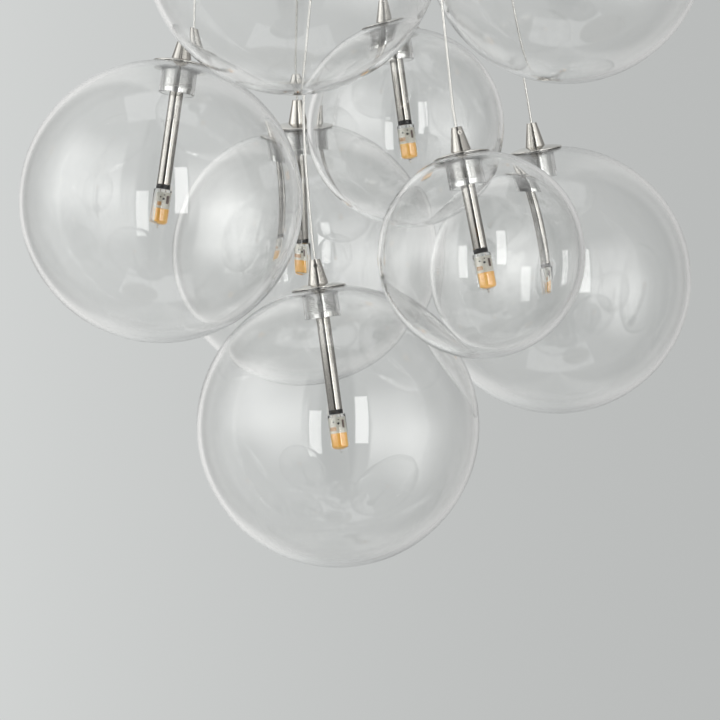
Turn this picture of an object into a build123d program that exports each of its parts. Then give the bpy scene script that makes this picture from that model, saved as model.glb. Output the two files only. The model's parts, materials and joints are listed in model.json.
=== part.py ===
# Cluster pendant: eight clear glass globes, each hung on its own thin cable from one round canopy.
# Millimetres, +Z up. The origin is the middle of the bracket's face that meets the ceiling.
# X runs to the right and Y away from the viewer, as the cluster is seen from its front.
import os
from itertools import combinations
from math import cos, pi, radians, sin, sqrt, tan

from build123d import *

# Glass globes
LARGE_RADIUS = 100.0
SMALL_RADIUS = 71.2
GLASS_WALL = 3.2
NECK_WALL = 2.2  # glass around the moulded screw neck
NECK_FILLET = 2.5
GLOBE_GAP = 0.8  # least room between two globes at rest

# Screw thread between cap and globe, made as rings
THREAD_ROOT = 11.0
THREAD_DEPTH = 0.7
THREAD_PITCH = 2.4
THREAD_TURNS = 6
THREAD_CREST = 0.8  # flat width at the top of a ridge
THREAD_FLANK = 0.5  # height of a sloping flank
THREAD_START = 3.6  # from the cap's rim down to the first ridge
THREAD_CLEARANCE = 0.3

# Cap: a thin shallow dome over the neck, with the threaded plug below it
CAP_RADIUS = 19.85
CAP_RIM = 0.8
CAP_DOME = 3.0
CAP_INSIDE_DOME = 1.9
CAP_INSIDE_LAND = 1.3  # flat ring inside, around the plug
CAP_FLAT_RADIUS = 8.0
CAP_SWELL = 0.3  # part of the dome's drop that its arc has made halfway out
PLUG_LENGTH = 21.0
SEAT_GAP = 0.3

# Stem tube between cap and lampholder
STEM_RADIUS = 5.0
STEM_WALL = 0.7
LARGE_STEM = 89.5  # from the cap's top to the lampholder
SMALL_STEM = 67.5
FIT = 0.05

# Cable grip: a cone on the cap, with a grub screw in its side
CONE_BASE_RADIUS = 7.4
CONE_TOP_RADIUS = 3.75
CONE_HEIGHT = 17.5
STEM_SOCKET = 6.0
SCREW_RADIUS = 1.5
SCREW_DROP = 4.3
SCREW_RECESS = 0.25
SCREW_SOCKET_RADIUS = 0.8
SCREW_SOCKET_DEPTH = 1.3

# Cable
CABLE_RADIUS = 0.9
CABLE_CLEARANCE = 0.2
CABLE_STRAIGHT = 12.0  # length that leaves the grip in line with the stem
CABLE_BEND = 9.0  # half the length of the bend that follows
CABLE_ENTRY = 3.0  # depth that it goes into the lampholder
BEND_SHARE = 0.45  # part of the shorter run that a bend further up takes

# Lampholder and two-pin lamp
HOLDER_RING = 3.1
HOLDER_SPIGOT = 10.0
PIN_RADIUS = 0.35
PIN_SPACING = 4.0
PIN_LENGTH = 7.5
PIN_CLEARANCE = 0.08
PIN_TIP_GAP = 0.5
LAMP_GAP = 0.3
LAMP_RADIUS = 6.5
LAMP_LENGTH = 24.7
LAMP_SHOULDER = 2.925  # height of the rounded end above the tip
LAMP_TIP = 2.8
LAMP_TIP_SLOPE = 0.25  # how steeply the rounded end runs into the tip
LAMP_TIP_RADIUS = 1.1
COVER_WALL = 0.8
LAMP_BASE = 2.6  # clear stopper that holds the pins and the board
BOARD_WIDTH = 9.4
BOARD_THICKNESS = 1.0
BOARD_LENGTH = 20.0
PHOSPHOR_LENGTH = 9.2
PHOSPHOR_THICKNESS = 0.9

# Canopy
CANOPY_RADIUS = 110.0
CANOPY_HEIGHT = 42.0
CANOPY_WALL = 1.2
CANOPY_FLOOR = 1.5
CANOPY_EDGE = 5.0

# Ceiling bracket, a steel strip along Y with its two ends turned down
BRACKET_WIDTH = 30.0
BRACKET_THICKNESS = 2.0
BRACKET_DROP = 16.0
SLOT_SPACING = 116.0
SLOT_LENGTH = 14.0
SLOT_RADIUS = 2.6
SUPPLY_HOLE_RADIUS = 6.0
SUPPLY_HOLE_Y = 80.0
GROMMET_WALL = 1.4
GROMMET_LIP = 1.4
GROMMET_LIP_HEIGHT = 1.2

# Canopy side screws
SIDE_SCREW_RADIUS = 2.0
SIDE_SCREW_CLEARANCE = 0.25
SIDE_SCREW_DROP = 9.0
SIDE_SCREW_LENGTH = 8.0
SIDE_SCREW_HEAD_RADIUS = 4.5
SIDE_SCREW_HEAD = 3.0
SIDE_SCREW_SOCKET_RADIUS = 1.5
SIDE_SCREW_SOCKET_DEPTH = 1.6

# Cable glands, in which the crimped ball at the top of each cable is seated, and their nuts
GLAND_RADIUS = 5.0
GLAND_FOOT_BEVEL = 0.4
GLAND_LENGTH = 16.0
GLAND_SHANK_RADIUS = 4.0
GLAND_SHANK = 6.0
GLAND_HOLE_CLEARANCE = 0.1
BALL_RADIUS = 2.6
BALL_CLEARANCE = 0.06
BALL_DEPTH = 5.0  # from the gland's foot up to the ball's middle
THROAT_ANGLE = 51.0  # half the opening below the ball, seen from its middle (degrees)
FLARE_ANGLE = 32.0  # slope of the mouth below the throat (degrees)
CABLE_END_INSET = 0.4  # from the ball's top down to the cable's end
NUT_CORNER_RADIUS = 7.0
NUT_HEIGHT = 3.0

# Driver, terminals and the wires inside the canopy
DRIVER_WIDTH = 40.0
DRIVER_LENGTH = 84.0
DRIVER_HEIGHT = 16.0
DRIVER_EDGE = 1.5
DRIVER_EAR = 8.0
DRIVER_EAR_WIDTH = 16.0
DRIVER_EAR_THICKNESS = 2.0
DRIVER_SCREW_RADIUS = 1.5
DRIVER_SCREW_HEAD_RADIUS = 2.8
DRIVER_SCREW_HEAD = 1.8
DRIVER_SCREW_CLEARANCE = 0.2
CEILING_GAP = 0.2  # from the ceiling down to the driver screws' tips and the grommet
TERMINAL_LENGTH = 50.0
TERMINAL_WIDTH = 12.0
TERMINAL_HEIGHT = 11.0
TERMINAL_ENTRY_DROP = 7.4
TERMINAL_ENTRY_DEPTH = 3.5
TERMINAL_PITCH = 12.0
TERMINAL_SCREW_RADIUS = 1.4
TERMINAL_SCREW_DEPTH = 1.5
MAINS_WIDTH = 18.0
MAINS_LENGTH = 22.0
MAINS_HEIGHT = 14.0
MAINS_INSET = 15.5  # from the bracket's turned-down end
LEAD_BEND = 6.0
LEAD_APPROACH = 10.0
WIRE_RADIUS = 0.9
WIRE_DROP = 8.0  # from a box's top down to its wires
WIRE_SPACING = 6.0
WIRE_LOOP = 13.0
WIRE_BEND = 5.0
SEAT = 0.3  # gap at a seat inside the canopy

# Each pendant: globe size, middle of its globe as seen, how far its stem leans sideways (degrees),
# outlet in the canopy (distance from the middle, angle), turn of its grip and of its lamp about
# the stem (degrees), place on the output terminal (side, step), and the points that a cable
# which isn't straight passes on its way up.
PENDANTS = {
    "left": (LARGE_RADIUS, (-126.4, -34.0, -570.2), -7.9, (72.0, 184.0), 115, 12, (1, -1.5), ()),
    "back": (LARGE_RADIUS, (-30.3, 166.0, -600.4), 1.8, (72.0, 112.0), 150, 52, (1, -0.5), ()),
    "lowest": (
        LARGE_RADIUS,
        (-1.6, -30.0, -728.7),
        7.9,
        (40.0, 285.0),
        0,
        -8,
        (-1, -0.5),
        ((-22.2, -32.0, -569.6), (-25.2, -32.6, -533.5), (-26.2, -33.2, -498.2)),
    ),
    "small_middle": (SMALL_RADIUS, (46.8, 12.9, -513.7), 7.7, (28.0, 80.0), 95, -14, (1, 0.5), ()),
    "small_right": (SMALL_RADIUS, (96.8, -107.0, -610.2), 10.9, (72.0, -64.0), 18, 4, (-1, 0.5), ()),
    "right": (LARGE_RADIUS, (161.2, 97.0, -622.2), 9.6, (72.0, 30.0), 200, 35, (1, 1.5), ()),
    "top_left": (LARGE_RADIUS, (-31.3, -142.0, -404.2), -3.0, (72.0, -108.0), 60, 25, (-1, -1.5), ()),
    "top_right": (LARGE_RADIUS, (160.0, -25.0, -386.2), 14.0, (72.0, -20.0), 300, -30, (-1, 1.5), ()),
}

# Heights and radii that several pieces share
CANOPY_FLOOR_TOP = CANOPY_FLOOR - CANOPY_HEIGHT
CANOPY_INSIDE = CANOPY_RADIUS - CANOPY_WALL
BRACKET_REACH = sqrt(CANOPY_INSIDE**2 - (BRACKET_WIDTH / 2) ** 2) - SEAT
GLAND_FOOT = -CANOPY_HEIGHT - GLAND_LENGTH
PIVOT_HEIGHT = GLAND_FOOT + BALL_DEPTH
SHANK_TOP = CANOPY_FLOOR_TOP + GLAND_SHANK
BALL_SEAT = BALL_RADIUS + BALL_CLEARANCE
DRIVER_TOP = -BRACKET_THICKNESS - SEAT
DRIVER_BOTTOM = DRIVER_TOP - DRIVER_HEIGHT
TERMINAL_TOP = DRIVER_BOTTOM - SEAT
LEAD_HEIGHT = TERMINAL_TOP - TERMINAL_ENTRY_DROP
WIRE_HEIGHT = DRIVER_TOP - WIRE_DROP
MAINS_Y = BRACKET_THICKNESS + MAINS_INSET + MAINS_LENGTH / 2 - BRACKET_REACH
CABLE_BORE = CABLE_RADIUS + CABLE_CLEARANCE
CAP_TOP_TO_CONE_TOP = CAP_DOME + CONE_HEIGHT


def ridged_wall(root, top):
    """Points down a wall with the thread's ridges: each is a flank, a flat crest and a flank."""
    points = []
    for turn in range(THREAD_TURNS):
        middle = top - turn * THREAD_PITCH
        for height, reach in (
            (THREAD_CREST / 2 + THREAD_FLANK, 0.0),
            (THREAD_CREST / 2, THREAD_DEPTH),
            (-THREAD_CREST / 2, THREAD_DEPTH),
            (-THREAD_CREST / 2 - THREAD_FLANK, 0.0),
        ):
            points.append((root + reach, middle + height))
    return points


def seat_height(radius):
    """How far above a globe's middle the cap's rim sits."""
    return sqrt(radius**2 - CAP_RADIUS**2) + SEAT_GAP


def make_globe(radius):
    """Hollow glass ball whose top turns inwards as a neck with the screw thread inside."""
    inside = radius - GLASS_WALL
    bore = THREAD_ROOT + THREAD_CLEARANCE
    neck = bore + THREAD_DEPTH + NECK_WALL
    seat = seat_height(radius)
    foot = seat - PLUG_LENGTH
    lip = sqrt(radius**2 - bore**2)
    root = sqrt(inside**2 - neck**2)
    with BuildPart() as globe:
        with BuildSketch(Plane.XZ):
            with BuildLine():
                ThreePointArc((0, -radius), (radius, 0), (bore, lip))
                Polyline((bore, lip), *ridged_wall(bore, seat - THREAD_START), (bore, foot), (neck, foot))
                Line((neck, foot), (neck, root))
                ThreePointArc((neck, root), (inside, 0), (0, -inside))
                Line((0, -inside), (0, -radius))
            make_face()
        revolve(axis=Axis.Z)
        circles = globe.edges().filter_by(GeomType.CIRCLE)
        fillet(circles.sort_by_distance((neck, 0, root))[0], NECK_FILLET)
    return globe


def make_cap_and_stem(stem_length):
    """Cap with its plug, and the stem tube that passes through it. Zero height is the cap's rim."""
    foot = -PLUG_LENGTH
    bore = STEM_RADIUS + FIT
    with BuildPart() as cap:
        with BuildSketch(Plane.XZ):
            with BuildLine():
                Polyline(
                    (bore, CAP_DOME),
                    (bore, foot),
                    (THREAD_ROOT, foot),
                    *reversed(ridged_wall(THREAD_ROOT, -THREAD_START)),
                    (THREAD_ROOT, CAP_INSIDE_DOME),
                    (THREAD_ROOT + CAP_INSIDE_LAND, CAP_INSIDE_DOME),
                    (CAP_RADIUS, 0),
                    (CAP_RADIUS, CAP_RIM),
                )
                ThreePointArc(
                    (CAP_RADIUS, CAP_RIM),
                    ((CAP_RADIUS + CAP_FLAT_RADIUS) / 2, CAP_DOME - (CAP_DOME - CAP_RIM) * CAP_SWELL),
                    (CAP_FLAT_RADIUS, CAP_DOME),
                )
                Line((CAP_FLAT_RADIUS, CAP_DOME), (bore, CAP_DOME))
            make_face()
        revolve(axis=Axis.Z)
    top = CAP_DOME + STEM_SOCKET - FIT
    with BuildPart() as stem:
        with BuildSketch(Plane.XY.offset(CAP_DOME - stem_length)):
            Circle(STEM_RADIUS)
            Circle(STEM_RADIUS - STEM_WALL, mode=Mode.SUBTRACT)
        extrude(amount=stem_length - CAP_DOME + top)
    with BuildPart() as cap_and_stem:
        add(cap.part)
        add(stem.part)
    return cap_and_stem


def make_cable_grip():
    """Cone with a socket for the stem, a bore for the cable, and a grub screw facing -Y."""
    screw_height = CAP_DOME + CONE_HEIGHT - SCREW_DROP
    slope = (CONE_BASE_RADIUS - CONE_TOP_RADIUS) / CONE_HEIGHT
    reach = CONE_TOP_RADIUS + slope * SCREW_DROP
    with BuildPart() as cone:
        with BuildSketch(Plane.XZ):
            Polygon(
                (CABLE_BORE, CAP_DOME + STEM_SOCKET),
                (STEM_RADIUS + FIT, CAP_DOME + STEM_SOCKET),
                (STEM_RADIUS + FIT, CAP_DOME),
                (CONE_BASE_RADIUS, CAP_DOME),
                (CONE_TOP_RADIUS, CAP_DOME + CONE_HEIGHT),
                (CABLE_BORE, CAP_DOME + CONE_HEIGHT),
                align=None,
            )
        revolve(axis=Axis.Z)
        with BuildSketch(Plane.XZ):
            with Locations((0, screw_height)):
                Circle(SCREW_RADIUS + FIT)
        extrude(amount=CONE_BASE_RADIUS, mode=Mode.SUBTRACT)
    with BuildPart() as screw:
        with BuildSketch(Plane.XZ.offset(CABLE_RADIUS + FIT)):
            with Locations((0, screw_height)):
                Circle(SCREW_RADIUS)
        extrude(amount=reach - SCREW_RECESS - CABLE_RADIUS - FIT)
        with BuildSketch(Plane.XZ.offset(reach - SCREW_RECESS)):
            with Locations((0, screw_height)):
                RegularPolygon(SCREW_SOCKET_RADIUS, 6)
        extrude(amount=-SCREW_SOCKET_DEPTH, mode=Mode.SUBTRACT)
    with BuildPart() as grip:
        add(cone.part)
        add(screw.part)
    return grip


def make_lampholder():
    """Black holder: the ring that shows, and the spigot inside the stem. Zero is the stem's end."""
    with BuildPart() as holder:
        with BuildSketch(Plane.XY.offset(-HOLDER_RING)):
            Circle(STEM_RADIUS)
        extrude(amount=HOLDER_RING)
        with BuildSketch(Plane.XY):
            Circle(STEM_RADIUS - STEM_WALL - FIT)
        extrude(amount=HOLDER_SPIGOT)
        with BuildSketch(Plane.XY.offset(-HOLDER_RING)):
            with GridLocations(PIN_SPACING, 0, 2, 1):
                Circle(PIN_RADIUS + PIN_CLEARANCE)
        extrude(amount=PIN_LENGTH, mode=Mode.SUBTRACT)
        with BuildSketch(Plane.XY.offset(HOLDER_SPIGOT)):
            Circle(CABLE_RADIUS + FIT)
        extrude(amount=-CABLE_ENTRY, mode=Mode.SUBTRACT)
    return holder


def make_lamp():
    """Two-pin lamp: clear cover, stopper, board, phosphor and pins. Zero is the stem's end."""
    top = -HOLDER_RING - LAMP_GAP
    bottom = top - LAMP_LENGTH
    shoulder = bottom + LAMP_SHOULDER
    inside = LAMP_RADIUS - COVER_WALL
    with BuildPart() as cover:
        with BuildSketch(Plane.XZ):
            with BuildLine():
                Polyline((inside, top), (LAMP_RADIUS, top), (LAMP_RADIUS, shoulder))
                Spline(
                    (LAMP_RADIUS, shoulder),
                    (LAMP_TIP_RADIUS, bottom),
                    tangents=((0, -1), (-1, -LAMP_TIP_SLOPE)),
                )
                Polyline((LAMP_TIP_RADIUS, bottom), (0, bottom - LAMP_TIP), (0, bottom + COVER_WALL))
                Spline(
                    (0, bottom + COVER_WALL),
                    (inside, shoulder),
                    tangents=((1, 0), (0, 1)),
                )
                Line((inside, shoulder), (inside, top))
            make_face()
        revolve(axis=Axis.Z)
    with BuildPart() as stopper:
        with BuildSketch(Plane.XY.offset(top - LAMP_BASE)):
            Circle(inside - FIT)
            with GridLocations(PIN_SPACING, 0, 2, 1):
                Circle(PIN_RADIUS + FIT, mode=Mode.SUBTRACT)
        extrude(amount=LAMP_BASE)
    board_top = top - LAMP_BASE - FIT
    board_middle = board_top - BOARD_LENGTH / 2
    with BuildPart() as board:
        with Locations((0, 0, board_middle)):
            Box(BOARD_WIDTH, BOARD_THICKNESS, BOARD_LENGTH)
    phosphor_middle = board_top - BOARD_LENGTH + PHOSPHOR_LENGTH / 2
    face = BOARD_THICKNESS / 2 + FIT + PHOSPHOR_THICKNESS / 2
    with BuildPart() as phosphor:
        with Locations((0, face, phosphor_middle), (0, -face, phosphor_middle)):
            Box(BOARD_WIDTH, PHOSPHOR_THICKNESS, PHOSPHOR_LENGTH)
    with BuildPart() as pins:
        with BuildSketch(Plane.XY.offset(top - LAMP_BASE)):
            with GridLocations(PIN_SPACING, 0, 2, 1):
                Circle(PIN_RADIUS)
        extrude(amount=LAMP_BASE + LAMP_GAP + PIN_LENGTH - PIN_TIP_GAP)
    with BuildPart() as lamp:
        for piece in (cover, stopper, board, phosphor, pins):
            add(piece.part)
    return lamp


def cluster_spread():
    """1 as seen, and more where other sizes would bring two globes too close."""
    spread = 1.0
    for one, other in combinations(PENDANTS.values(), 2):
        apart = (Vector(*one[1]) - Vector(*other[1])).length
        spread = max(spread, (one[0] + other[0] + GLOBE_GAP) / apart)
    return spread


def globe_middle(pendant):
    """The cluster spreads outwards and upwards from the lowest globe's height."""
    middle = Vector(*PENDANTS[pendant][1])
    foot = Vector(0, 0, min(entry[1][2] for entry in PENDANTS.values()))
    return foot + (middle - foot) * cluster_spread()


def outlet_place(pendant):
    """The outlet's X and Y in the canopy."""
    distance, angle = PENDANTS[pendant][3]
    return distance * cos(radians(angle)), distance * sin(radians(angle))


def stem_plane(pendant):
    """Plane at the globe's middle whose Z runs up the stem.

    The stem leans sideways by the pendant's own angle, and in depth straight towards its outlet.
    """
    middle = globe_middle(pendant)
    lean = PENDANTS[pendant][2]
    depth = (outlet_place(pendant)[1] - middle.Y) / (PIVOT_HEIGHT - middle.Z)
    up = Vector(-tan(radians(lean)), depth, 1).normalized()
    across = Vector(0, 1, 0).cross(up)
    return Plane(origin=middle, x_dir=across, z_dir=up)


def stem_length(radius):
    return LARGE_STEM if radius == LARGE_RADIUS else SMALL_STEM


def cable_route(pendant):
    """Corners of the cable's route, from the lampholder up to the ball, and its bends' radii."""
    radius = PENDANTS[pendant][0]
    passed = PENDANTS[pendant][-1]
    plane = stem_plane(pendant)
    rim = seat_height(radius)
    start = rim + CAP_DOME - stem_length(radius) + HOLDER_SPIGOT - CABLE_ENTRY + FIT
    corner = rim + CAP_TOP_TO_CONE_TOP + CABLE_STRAIGHT
    points = [plane.origin + plane.z_dir * start, plane.origin + plane.z_dir * corner]
    points += [Vector(*point) for point in passed]
    pivot = Vector(*outlet_place(pendant), PIVOT_HEIGHT)
    last = (pivot - points[-1]).normalized()
    points.append(pivot + last * (BALL_RADIUS - CABLE_END_INSET))
    radii = []
    for before, here, after in zip(points, points[1:], points[2:]):
        turn = (here - before).get_angle(after - here)
        shorter = min((here - before).length, (after - here).length)
        reach = CABLE_BEND if not radii else BEND_SHARE * shorter
        radii.append(reach / tan(radians(turn / 2)))
    return points, radii


def make_tube(points, radii, radius):
    """Round tube along straight runs joined by arcs."""
    with BuildPart() as tube:
        with BuildLine() as route:
            FilletPolyline(*points, radius=radii)
        with BuildSketch(Plane(origin=points[0], z_dir=points[1] - points[0])):
            Circle(radius)
        sweep(path=route.wires()[0])
    length = route.wires()[0].length
    share = tube.part.volume / (pi * radius**2 * length)
    return tube, length, share


def make_cable(pendant):
    """Cable with the crimped ball at its top."""
    points, radii = cable_route(pendant)
    tube, length, share = make_tube(points, radii, CABLE_RADIUS)
    pivot = Vector(*outlet_place(pendant), PIVOT_HEIGHT)
    last = points[-1] - points[-2]
    bore = CABLE_RADIUS + FIT
    bore_end = sqrt(BALL_RADIUS**2 - bore**2)
    with BuildPart() as ball:
        with BuildSketch(Plane.XZ):
            with BuildLine():
                Line((bore, bore_end), (bore, -bore_end))
                ThreePointArc((bore, -bore_end), (BALL_RADIUS, 0), (bore, bore_end))
            make_face()
        revolve(axis=Axis.Z)
    with BuildPart() as cable:
        add(tube.part)
        with Locations(Plane(origin=pivot, z_dir=last).location):
            add(ball.part)
    print(f"{pendant}_cable: length {length:.1f}, volume share {share:.4f}, radii", end=" ")
    print([round(bend, 1) for bend in radii])
    return cable


def make_canopy_cover():
    """Round cup, open at the ceiling, with eight gland holes in its floor."""
    inner_edge = CANOPY_EDGE - CANOPY_WALL
    with BuildPart() as cover:
        with BuildSketch(Plane.XZ):
            with BuildLine():
                Polyline(
                    (CANOPY_INSIDE, 0),
                    (CANOPY_RADIUS, 0),
                    (CANOPY_RADIUS, CANOPY_EDGE - CANOPY_HEIGHT),
                )
                RadiusArc(
                    (CANOPY_RADIUS, CANOPY_EDGE - CANOPY_HEIGHT),
                    (CANOPY_RADIUS - CANOPY_EDGE, -CANOPY_HEIGHT),
                    CANOPY_EDGE,
                )
                Polyline(
                    (CANOPY_RADIUS - CANOPY_EDGE, -CANOPY_HEIGHT),
                    (0, -CANOPY_HEIGHT),
                    (0, CANOPY_FLOOR_TOP),
                    (CANOPY_INSIDE - inner_edge, CANOPY_FLOOR_TOP),
                )
                RadiusArc(
                    (CANOPY_INSIDE - inner_edge, CANOPY_FLOOR_TOP),
                    (CANOPY_INSIDE, CANOPY_FLOOR_TOP + inner_edge),
                    -inner_edge,
                )
                Line((CANOPY_INSIDE, CANOPY_FLOOR_TOP + inner_edge), (CANOPY_INSIDE, 0))
            make_face()
        revolve(axis=Axis.Z)
        with BuildSketch(Plane.XY.offset(-CANOPY_HEIGHT)):
            with Locations(*[outlet_place(pendant) for pendant in PENDANTS]):
                Circle(GLAND_SHANK_RADIUS + GLAND_HOLE_CLEARANCE)
        extrude(amount=CANOPY_FLOOR, mode=Mode.SUBTRACT)
        with BuildSketch(Plane.XZ):
            with Locations((0, -SIDE_SCREW_DROP)):
                Circle(SIDE_SCREW_RADIUS + SIDE_SCREW_CLEARANCE)
        extrude(amount=CANOPY_RADIUS, both=True, mode=Mode.SUBTRACT)
    return cover


def make_ceiling_bracket():
    """Steel strip with two slots for the ceiling screws, a supply hole and turned-down ends."""
    with BuildPart() as bracket:
        with BuildSketch(Plane.XY):
            Rectangle(BRACKET_WIDTH, 2 * BRACKET_REACH)
            with Locations((0, SLOT_SPACING / 2), (0, -SLOT_SPACING / 2)):
                SlotOverall(SLOT_LENGTH, 2 * SLOT_RADIUS, rotation=90, mode=Mode.SUBTRACT)
            with Locations((0, SUPPLY_HOLE_Y)):
                Circle(SUPPLY_HOLE_RADIUS, mode=Mode.SUBTRACT)
            with Locations(*driver_screw_places()):
                Circle(DRIVER_SCREW_RADIUS + FIT, mode=Mode.SUBTRACT)
        extrude(amount=-BRACKET_THICKNESS)
        end_middle = BRACKET_REACH - BRACKET_THICKNESS / 2
        with BuildSketch(Plane.XY):
            with Locations((0, end_middle), (0, -end_middle)):
                Rectangle(BRACKET_WIDTH, BRACKET_THICKNESS)
        extrude(amount=-BRACKET_DROP)
        with BuildSketch(Plane.XZ):
            with Locations((0, -SIDE_SCREW_DROP)):
                Circle(SIDE_SCREW_RADIUS + FIT)
        extrude(amount=CANOPY_RADIUS, both=True, mode=Mode.SUBTRACT)
    return bracket


def driver_screw_places():
    reach = DRIVER_LENGTH / 2 + DRIVER_EAR / 2
    return [(0, reach), (0, -reach)]


def make_canopy_screws():
    """Two screws through the canopy's side into the bracket's turned-down ends."""
    front = Plane.XZ.offset(CANOPY_RADIUS + FIT)
    back = -Plane.XZ.offset(-CANOPY_RADIUS - FIT)
    with BuildPart() as screws:
        for plane in (front, back):
            across = plane.to_local_coords(Vector(0, plane.origin.Y, -SIDE_SCREW_DROP))
            with BuildSketch(plane):
                with Locations((across.X, across.Y)):
                    Circle(SIDE_SCREW_RADIUS)
            extrude(amount=-SIDE_SCREW_LENGTH)
            with BuildSketch(plane):
                with Locations((across.X, across.Y)):
                    Circle(SIDE_SCREW_HEAD_RADIUS)
            extrude(amount=SIDE_SCREW_HEAD)
            with BuildSketch(plane.offset(SIDE_SCREW_HEAD)):
                with Locations((across.X, across.Y)):
                    RegularPolygon(SIDE_SCREW_SOCKET_RADIUS, 6)
            extrude(amount=-SIDE_SCREW_SOCKET_DEPTH, mode=Mode.SUBTRACT)
    return screws


def make_gland():
    """Gland on the Z axis: seat for the ball, flared mouth below it, shank through the canopy."""
    throat_radius = BALL_SEAT * sin(radians(THROAT_ANGLE))
    throat_height = PIVOT_HEIGHT - BALL_SEAT * cos(radians(THROAT_ANGLE))
    mouth_radius = throat_radius + (throat_height - GLAND_FOOT) * tan(radians(FLARE_ANGLE))
    half = radians((90 + THROAT_ANGLE) / 2)
    with BuildPart() as gland:
        with BuildSketch(Plane.XZ):
            with BuildLine():
                Polyline(
                    (throat_radius, throat_height),
                    (mouth_radius, GLAND_FOOT),
                    (GLAND_RADIUS - GLAND_FOOT_BEVEL, GLAND_FOOT),
                    (GLAND_RADIUS, GLAND_FOOT + GLAND_FOOT_BEVEL),
                    (GLAND_RADIUS, -CANOPY_HEIGHT),
                    (GLAND_SHANK_RADIUS, -CANOPY_HEIGHT),
                    (GLAND_SHANK_RADIUS, SHANK_TOP),
                    (BALL_SEAT, SHANK_TOP),
                    (BALL_SEAT, PIVOT_HEIGHT),
                )
                ThreePointArc(
                    (BALL_SEAT, PIVOT_HEIGHT),
                    (BALL_SEAT * sin(half), PIVOT_HEIGHT - BALL_SEAT * cos(half)),
                    (throat_radius, throat_height),
                )
            make_face()
        revolve(axis=Axis.Z)
    return gland


def make_gland_nut():
    with BuildPart() as nut:
        with BuildSketch(Plane.XY.offset(CANOPY_FLOOR_TOP)):
            RegularPolygon(NUT_CORNER_RADIUS, 6)
            Circle(GLAND_SHANK_RADIUS + FIT, mode=Mode.SUBTRACT)
        extrude(amount=NUT_HEIGHT)
    return nut


def at_outlets(piece):
    """A copy of a piece at each of the eight outlets."""
    with BuildPart() as group:
        with Locations(*[outlet_place(pendant) for pendant in PENDANTS]):
            add(piece.part)
    return group


def make_cable_leads():
    """Each cable's upper end: up through its gland, then across to its terminal."""
    leads = []
    for pendant in PENDANTS:
        x, y = outlet_place(pendant)
        side, step = PENDANTS[pendant][-2]
        entry_x = step * TERMINAL_PITCH
        points = [
            Vector(x, y, PIVOT_HEIGHT + BALL_RADIUS + SEAT),
            Vector(x, y, LEAD_HEIGHT),
            Vector(entry_x, side * (TERMINAL_WIDTH / 2 + LEAD_APPROACH), LEAD_HEIGHT),
            Vector(entry_x, side * (TERMINAL_WIDTH / 2 - TERMINAL_ENTRY_DEPTH + SEAT), LEAD_HEIGHT),
        ]
        runs = [(after - before).length for before, after in zip(points, points[1:])]
        radii = [min(LEAD_BEND, BEND_SHARE * run, BEND_SHARE * after) for run, after in zip(runs, runs[1:])]
        leads.append(make_tube(points, radii, CABLE_RADIUS)[0])
    with BuildPart() as group:
        for lead in leads:
            add(lead.part)
    return group


def make_led_driver():
    """Driver box with two ears, and openings for its wires."""
    with BuildPart() as driver:
        with BuildSketch(Plane.XY.offset(DRIVER_BOTTOM)):
            Rectangle(DRIVER_WIDTH, DRIVER_LENGTH)
        extrude(amount=DRIVER_HEIGHT)
        fillet(driver.edges().filter_by(Axis.Z), DRIVER_EDGE)
        chamfer(driver.faces().sort_by(Axis.Z)[0].edges(), DRIVER_EDGE / 2)
        with BuildSketch(Plane.XY.offset(DRIVER_TOP)):
            Rectangle(DRIVER_EAR_WIDTH, DRIVER_LENGTH + 2 * DRIVER_EAR)
        extrude(amount=-DRIVER_EAR_THICKNESS)
        with BuildSketch(Plane.XY.offset(DRIVER_TOP)):
            with Locations(*driver_screw_places()):
                Circle(DRIVER_SCREW_RADIUS + DRIVER_SCREW_CLEARANCE)
        extrude(amount=-DRIVER_EAR_THICKNESS, mode=Mode.SUBTRACT)
        with BuildSketch(Plane.XZ.offset(DRIVER_LENGTH / 2)):
            with Locations((0, WIRE_HEIGHT)):
                with GridLocations(WIRE_SPACING, 0, 2, 1):
                    Circle(WIRE_RADIUS + FIT)
        extrude(amount=-TERMINAL_ENTRY_DEPTH, mode=Mode.SUBTRACT)
        with BuildSketch(Plane.YZ.offset(DRIVER_WIDTH / 2)):
            with Locations((0, WIRE_HEIGHT)):
                with GridLocations(WIRE_SPACING, 0, 2, 1):
                    Circle(WIRE_RADIUS + FIT)
        extrude(amount=-TERMINAL_ENTRY_DEPTH, mode=Mode.SUBTRACT)
    return driver


def make_driver_screws():
    head_top = DRIVER_TOP - DRIVER_EAR_THICKNESS
    with BuildPart() as screws:
        with BuildSketch(Plane.XY.offset(-CEILING_GAP)):
            with Locations(*driver_screw_places()):
                Circle(DRIVER_SCREW_RADIUS)
        extrude(amount=head_top - FIT + CEILING_GAP)
        with BuildSketch(Plane.XY.offset(head_top - FIT)):
            with Locations(*driver_screw_places()):
                Circle(DRIVER_SCREW_HEAD_RADIUS)
        extrude(amount=-DRIVER_SCREW_HEAD)
    return screws


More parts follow.
